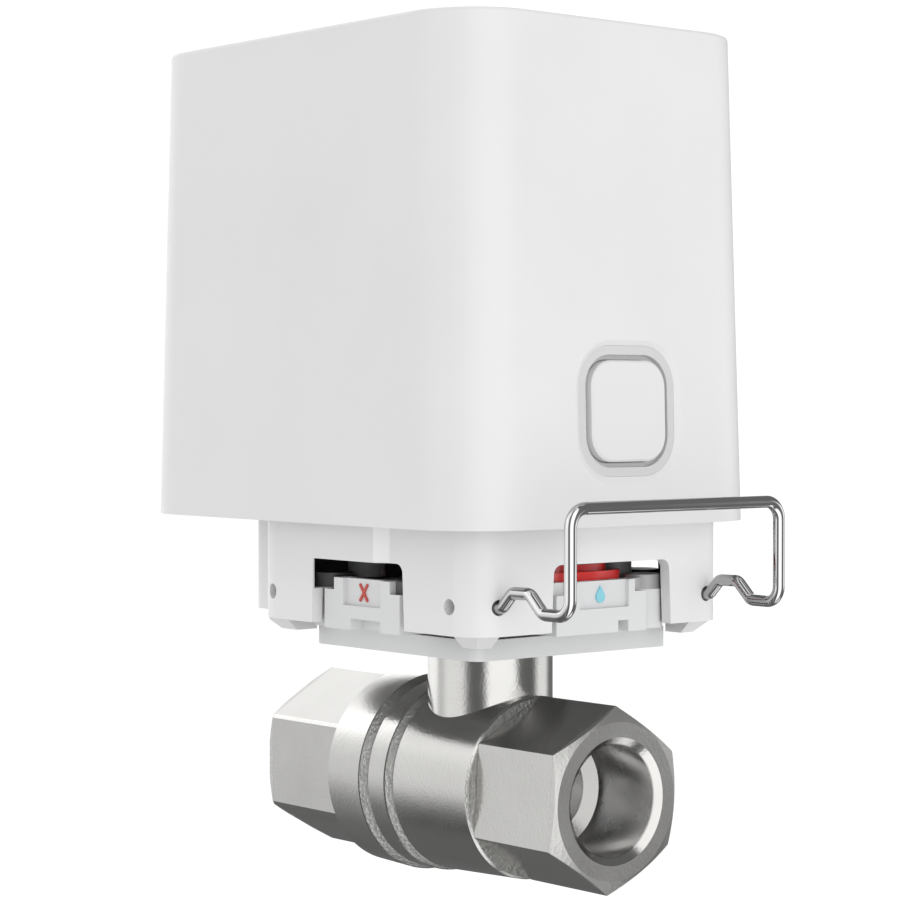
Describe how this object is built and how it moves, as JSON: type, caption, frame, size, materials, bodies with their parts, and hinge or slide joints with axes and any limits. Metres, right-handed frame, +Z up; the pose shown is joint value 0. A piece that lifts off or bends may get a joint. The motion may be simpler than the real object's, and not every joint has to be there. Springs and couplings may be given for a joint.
{
  "type": "motorized valve actuator",
  "caption": "Battery motor head in a tapered white housing, clipped by a wire bail onto a nickel-plated ball valve with hexagonal threaded ends, with a red pointer behind side windows.",
  "frame": {"origin": "ball centre, where the pipe axis crosses the stem axis", "axes": "+Z up along the stem, -Y out of the outlet port on the button's side, +X to the button side's right when looking along +Y"},
  "size_m": [0.0686, 0.1068, 0.1449],
  "materials": {
    "nickel_body": "satin nickel plate, cast texture in the grooves",
    "nickel_adapter": "satin nickel plate",
    "ptfe": "smooth, waxy",
    "seal_rubber": "matte moulded rubber",
    "brass_nut": "machined",
    "holder_plastic": "fine moulded grain",
    "spring_steel": "spring temper",
    "red_mark": "printed mark",
    "blue_mark": "printed mark",
    "chassis_plastic": "fine moulded grain",
    "bush_plastic": "low-friction bearing plastic",
    "cap_plastic": "satin white, fine moulded grain",
    "screw_steel": "zinc plated",
    "grey_elastomer": "matte, light grey",
    "shaft_steel": "ground",
    "motor_can": "drawn can",
    "plate_plastic": "glass-filled",
    "switch_plastic": "moulded",
    "board": "green solder mask",
    "component_black": "moulded packages",
    "light_lens": "translucent lens",
    "tray_plastic": "moulded",
    "cell_wrap": "shrink sleeve",
    "contact_metal": "nickel-plated spring metal",
    "grey_post": "moulded",
    "chrome_ball": "polished",
    "stem_steel": "turned",
    "coupler_plastic": "moulded",
    "indicator_red": "moulded in red",
    "gear_plastic": "acetal",
    "brass_pinion": "hobbed",
    "button_plastic": "satin white",
    "clip_wire": "bright plated spring wire"
  },
  "bodies": {
    "head_and_valve": {"valve_body": "nickel_body", "end_adapter": "nickel_adapter", "body_gasket": "ptfe", "seat_outlet": "ptfe", "seat_inlet": "ptfe", "stem_seal_lower": "seal_rubber", "stem_seal_upper": "seal_rubber", "packing_nut": "brass_nut", "holder_plate": "holder_plastic", "holder_ring": "spring_steel", "closed_label": "red_mark", "open_label": "blue_mark", "chassis": "chassis_plastic", "housing_seal": "seal_rubber", "shaft_bush": "bush_plastic", "housing_cap": "cap_plastic", "cap_screws": "screw_steel", "button_gasket": "grey_elastomer", "idler_axle": "shaft_steel", "drive_motor": "motor_can", "motor_screws": "screw_steel", "gearbox_plate": "plate_plastic", "gearbox_posts": "shaft_steel", "switch_closed": "switch_plastic", "switch_open": "switch_plastic", "main_board": "board", "button_switch": "switch_plastic", "board_brackets": "plate_plastic", "board_components": "component_black", "antenna": "board", "status_light": "light_lens", "battery_tray": "tray_plastic", "cell_lower_left": "cell_wrap", "cell_lower_right": "cell_wrap", "cell_upper_left": "cell_wrap", "cell_upper_right": "cell_wrap", "contacts_lower": "contact_metal", "contacts_middle": "contact_metal", "contacts_upper": "contact_metal", "stop_post_open": "grey_post", "stop_post_closed": "grey_post"},
    "drive": {"ball": "chrome_ball", "stem": "stem_steel", "drive_coupler": "coupler_plastic", "position_indicator": "indicator_red", "output_gear": "gear_plastic", "switch_cam": "gear_plastic"},
    "idler": {"idler_gear": "gear_plastic"},
    "motor_rotor": {"motor_pinion": "brass_pinion", "motor_shaft": "shaft_steel"},
    "button": {"function_button": "button_plastic"},
    "clip": {"release_clip": "clip_wire"}
  },
  "joints": [
    {"name": "valve_turn", "type": "hinge", "parent": "head_and_valve", "child": "drive", "pos_m": [0, 0, 0], "axis": [0, 0, -1], "range_deg": [0, 90]},
    {"name": "idler_spin", "type": "hinge", "parent": "head_and_valve", "child": "idler", "pos_m": [0.014, 0.01949, 0.058], "axis": [0, 0, -1], "range_deg": [-361, 1]},
    {"name": "motor_spin", "type": "hinge", "parent": "head_and_valve", "child": "motor_rotor", "pos_m": [-0.0004, 0.01949, 0.062], "axis": [0, 0, -1], "range_deg": [-3, 1083]},
    {"name": "button_press", "type": "slide", "parent": "head_and_valve", "child": "button", "axis": [0, 1, 0], "range_m": [0, 0.0008], "stiffness_N_per_m": 1500},
    {"name": "clip_slide", "type": "slide", "parent": "head_and_valve", "child": "clip", "axis": [0, -1, 0], "range_m": [0, 0.06]}
  ],
  "couplings": [
    {"joint": "idler_spin", "follows": "valve_turn", "ratio": -4},
    {"joint": "motor_spin", "follows": "valve_turn", "ratio": 12}
  ]
}
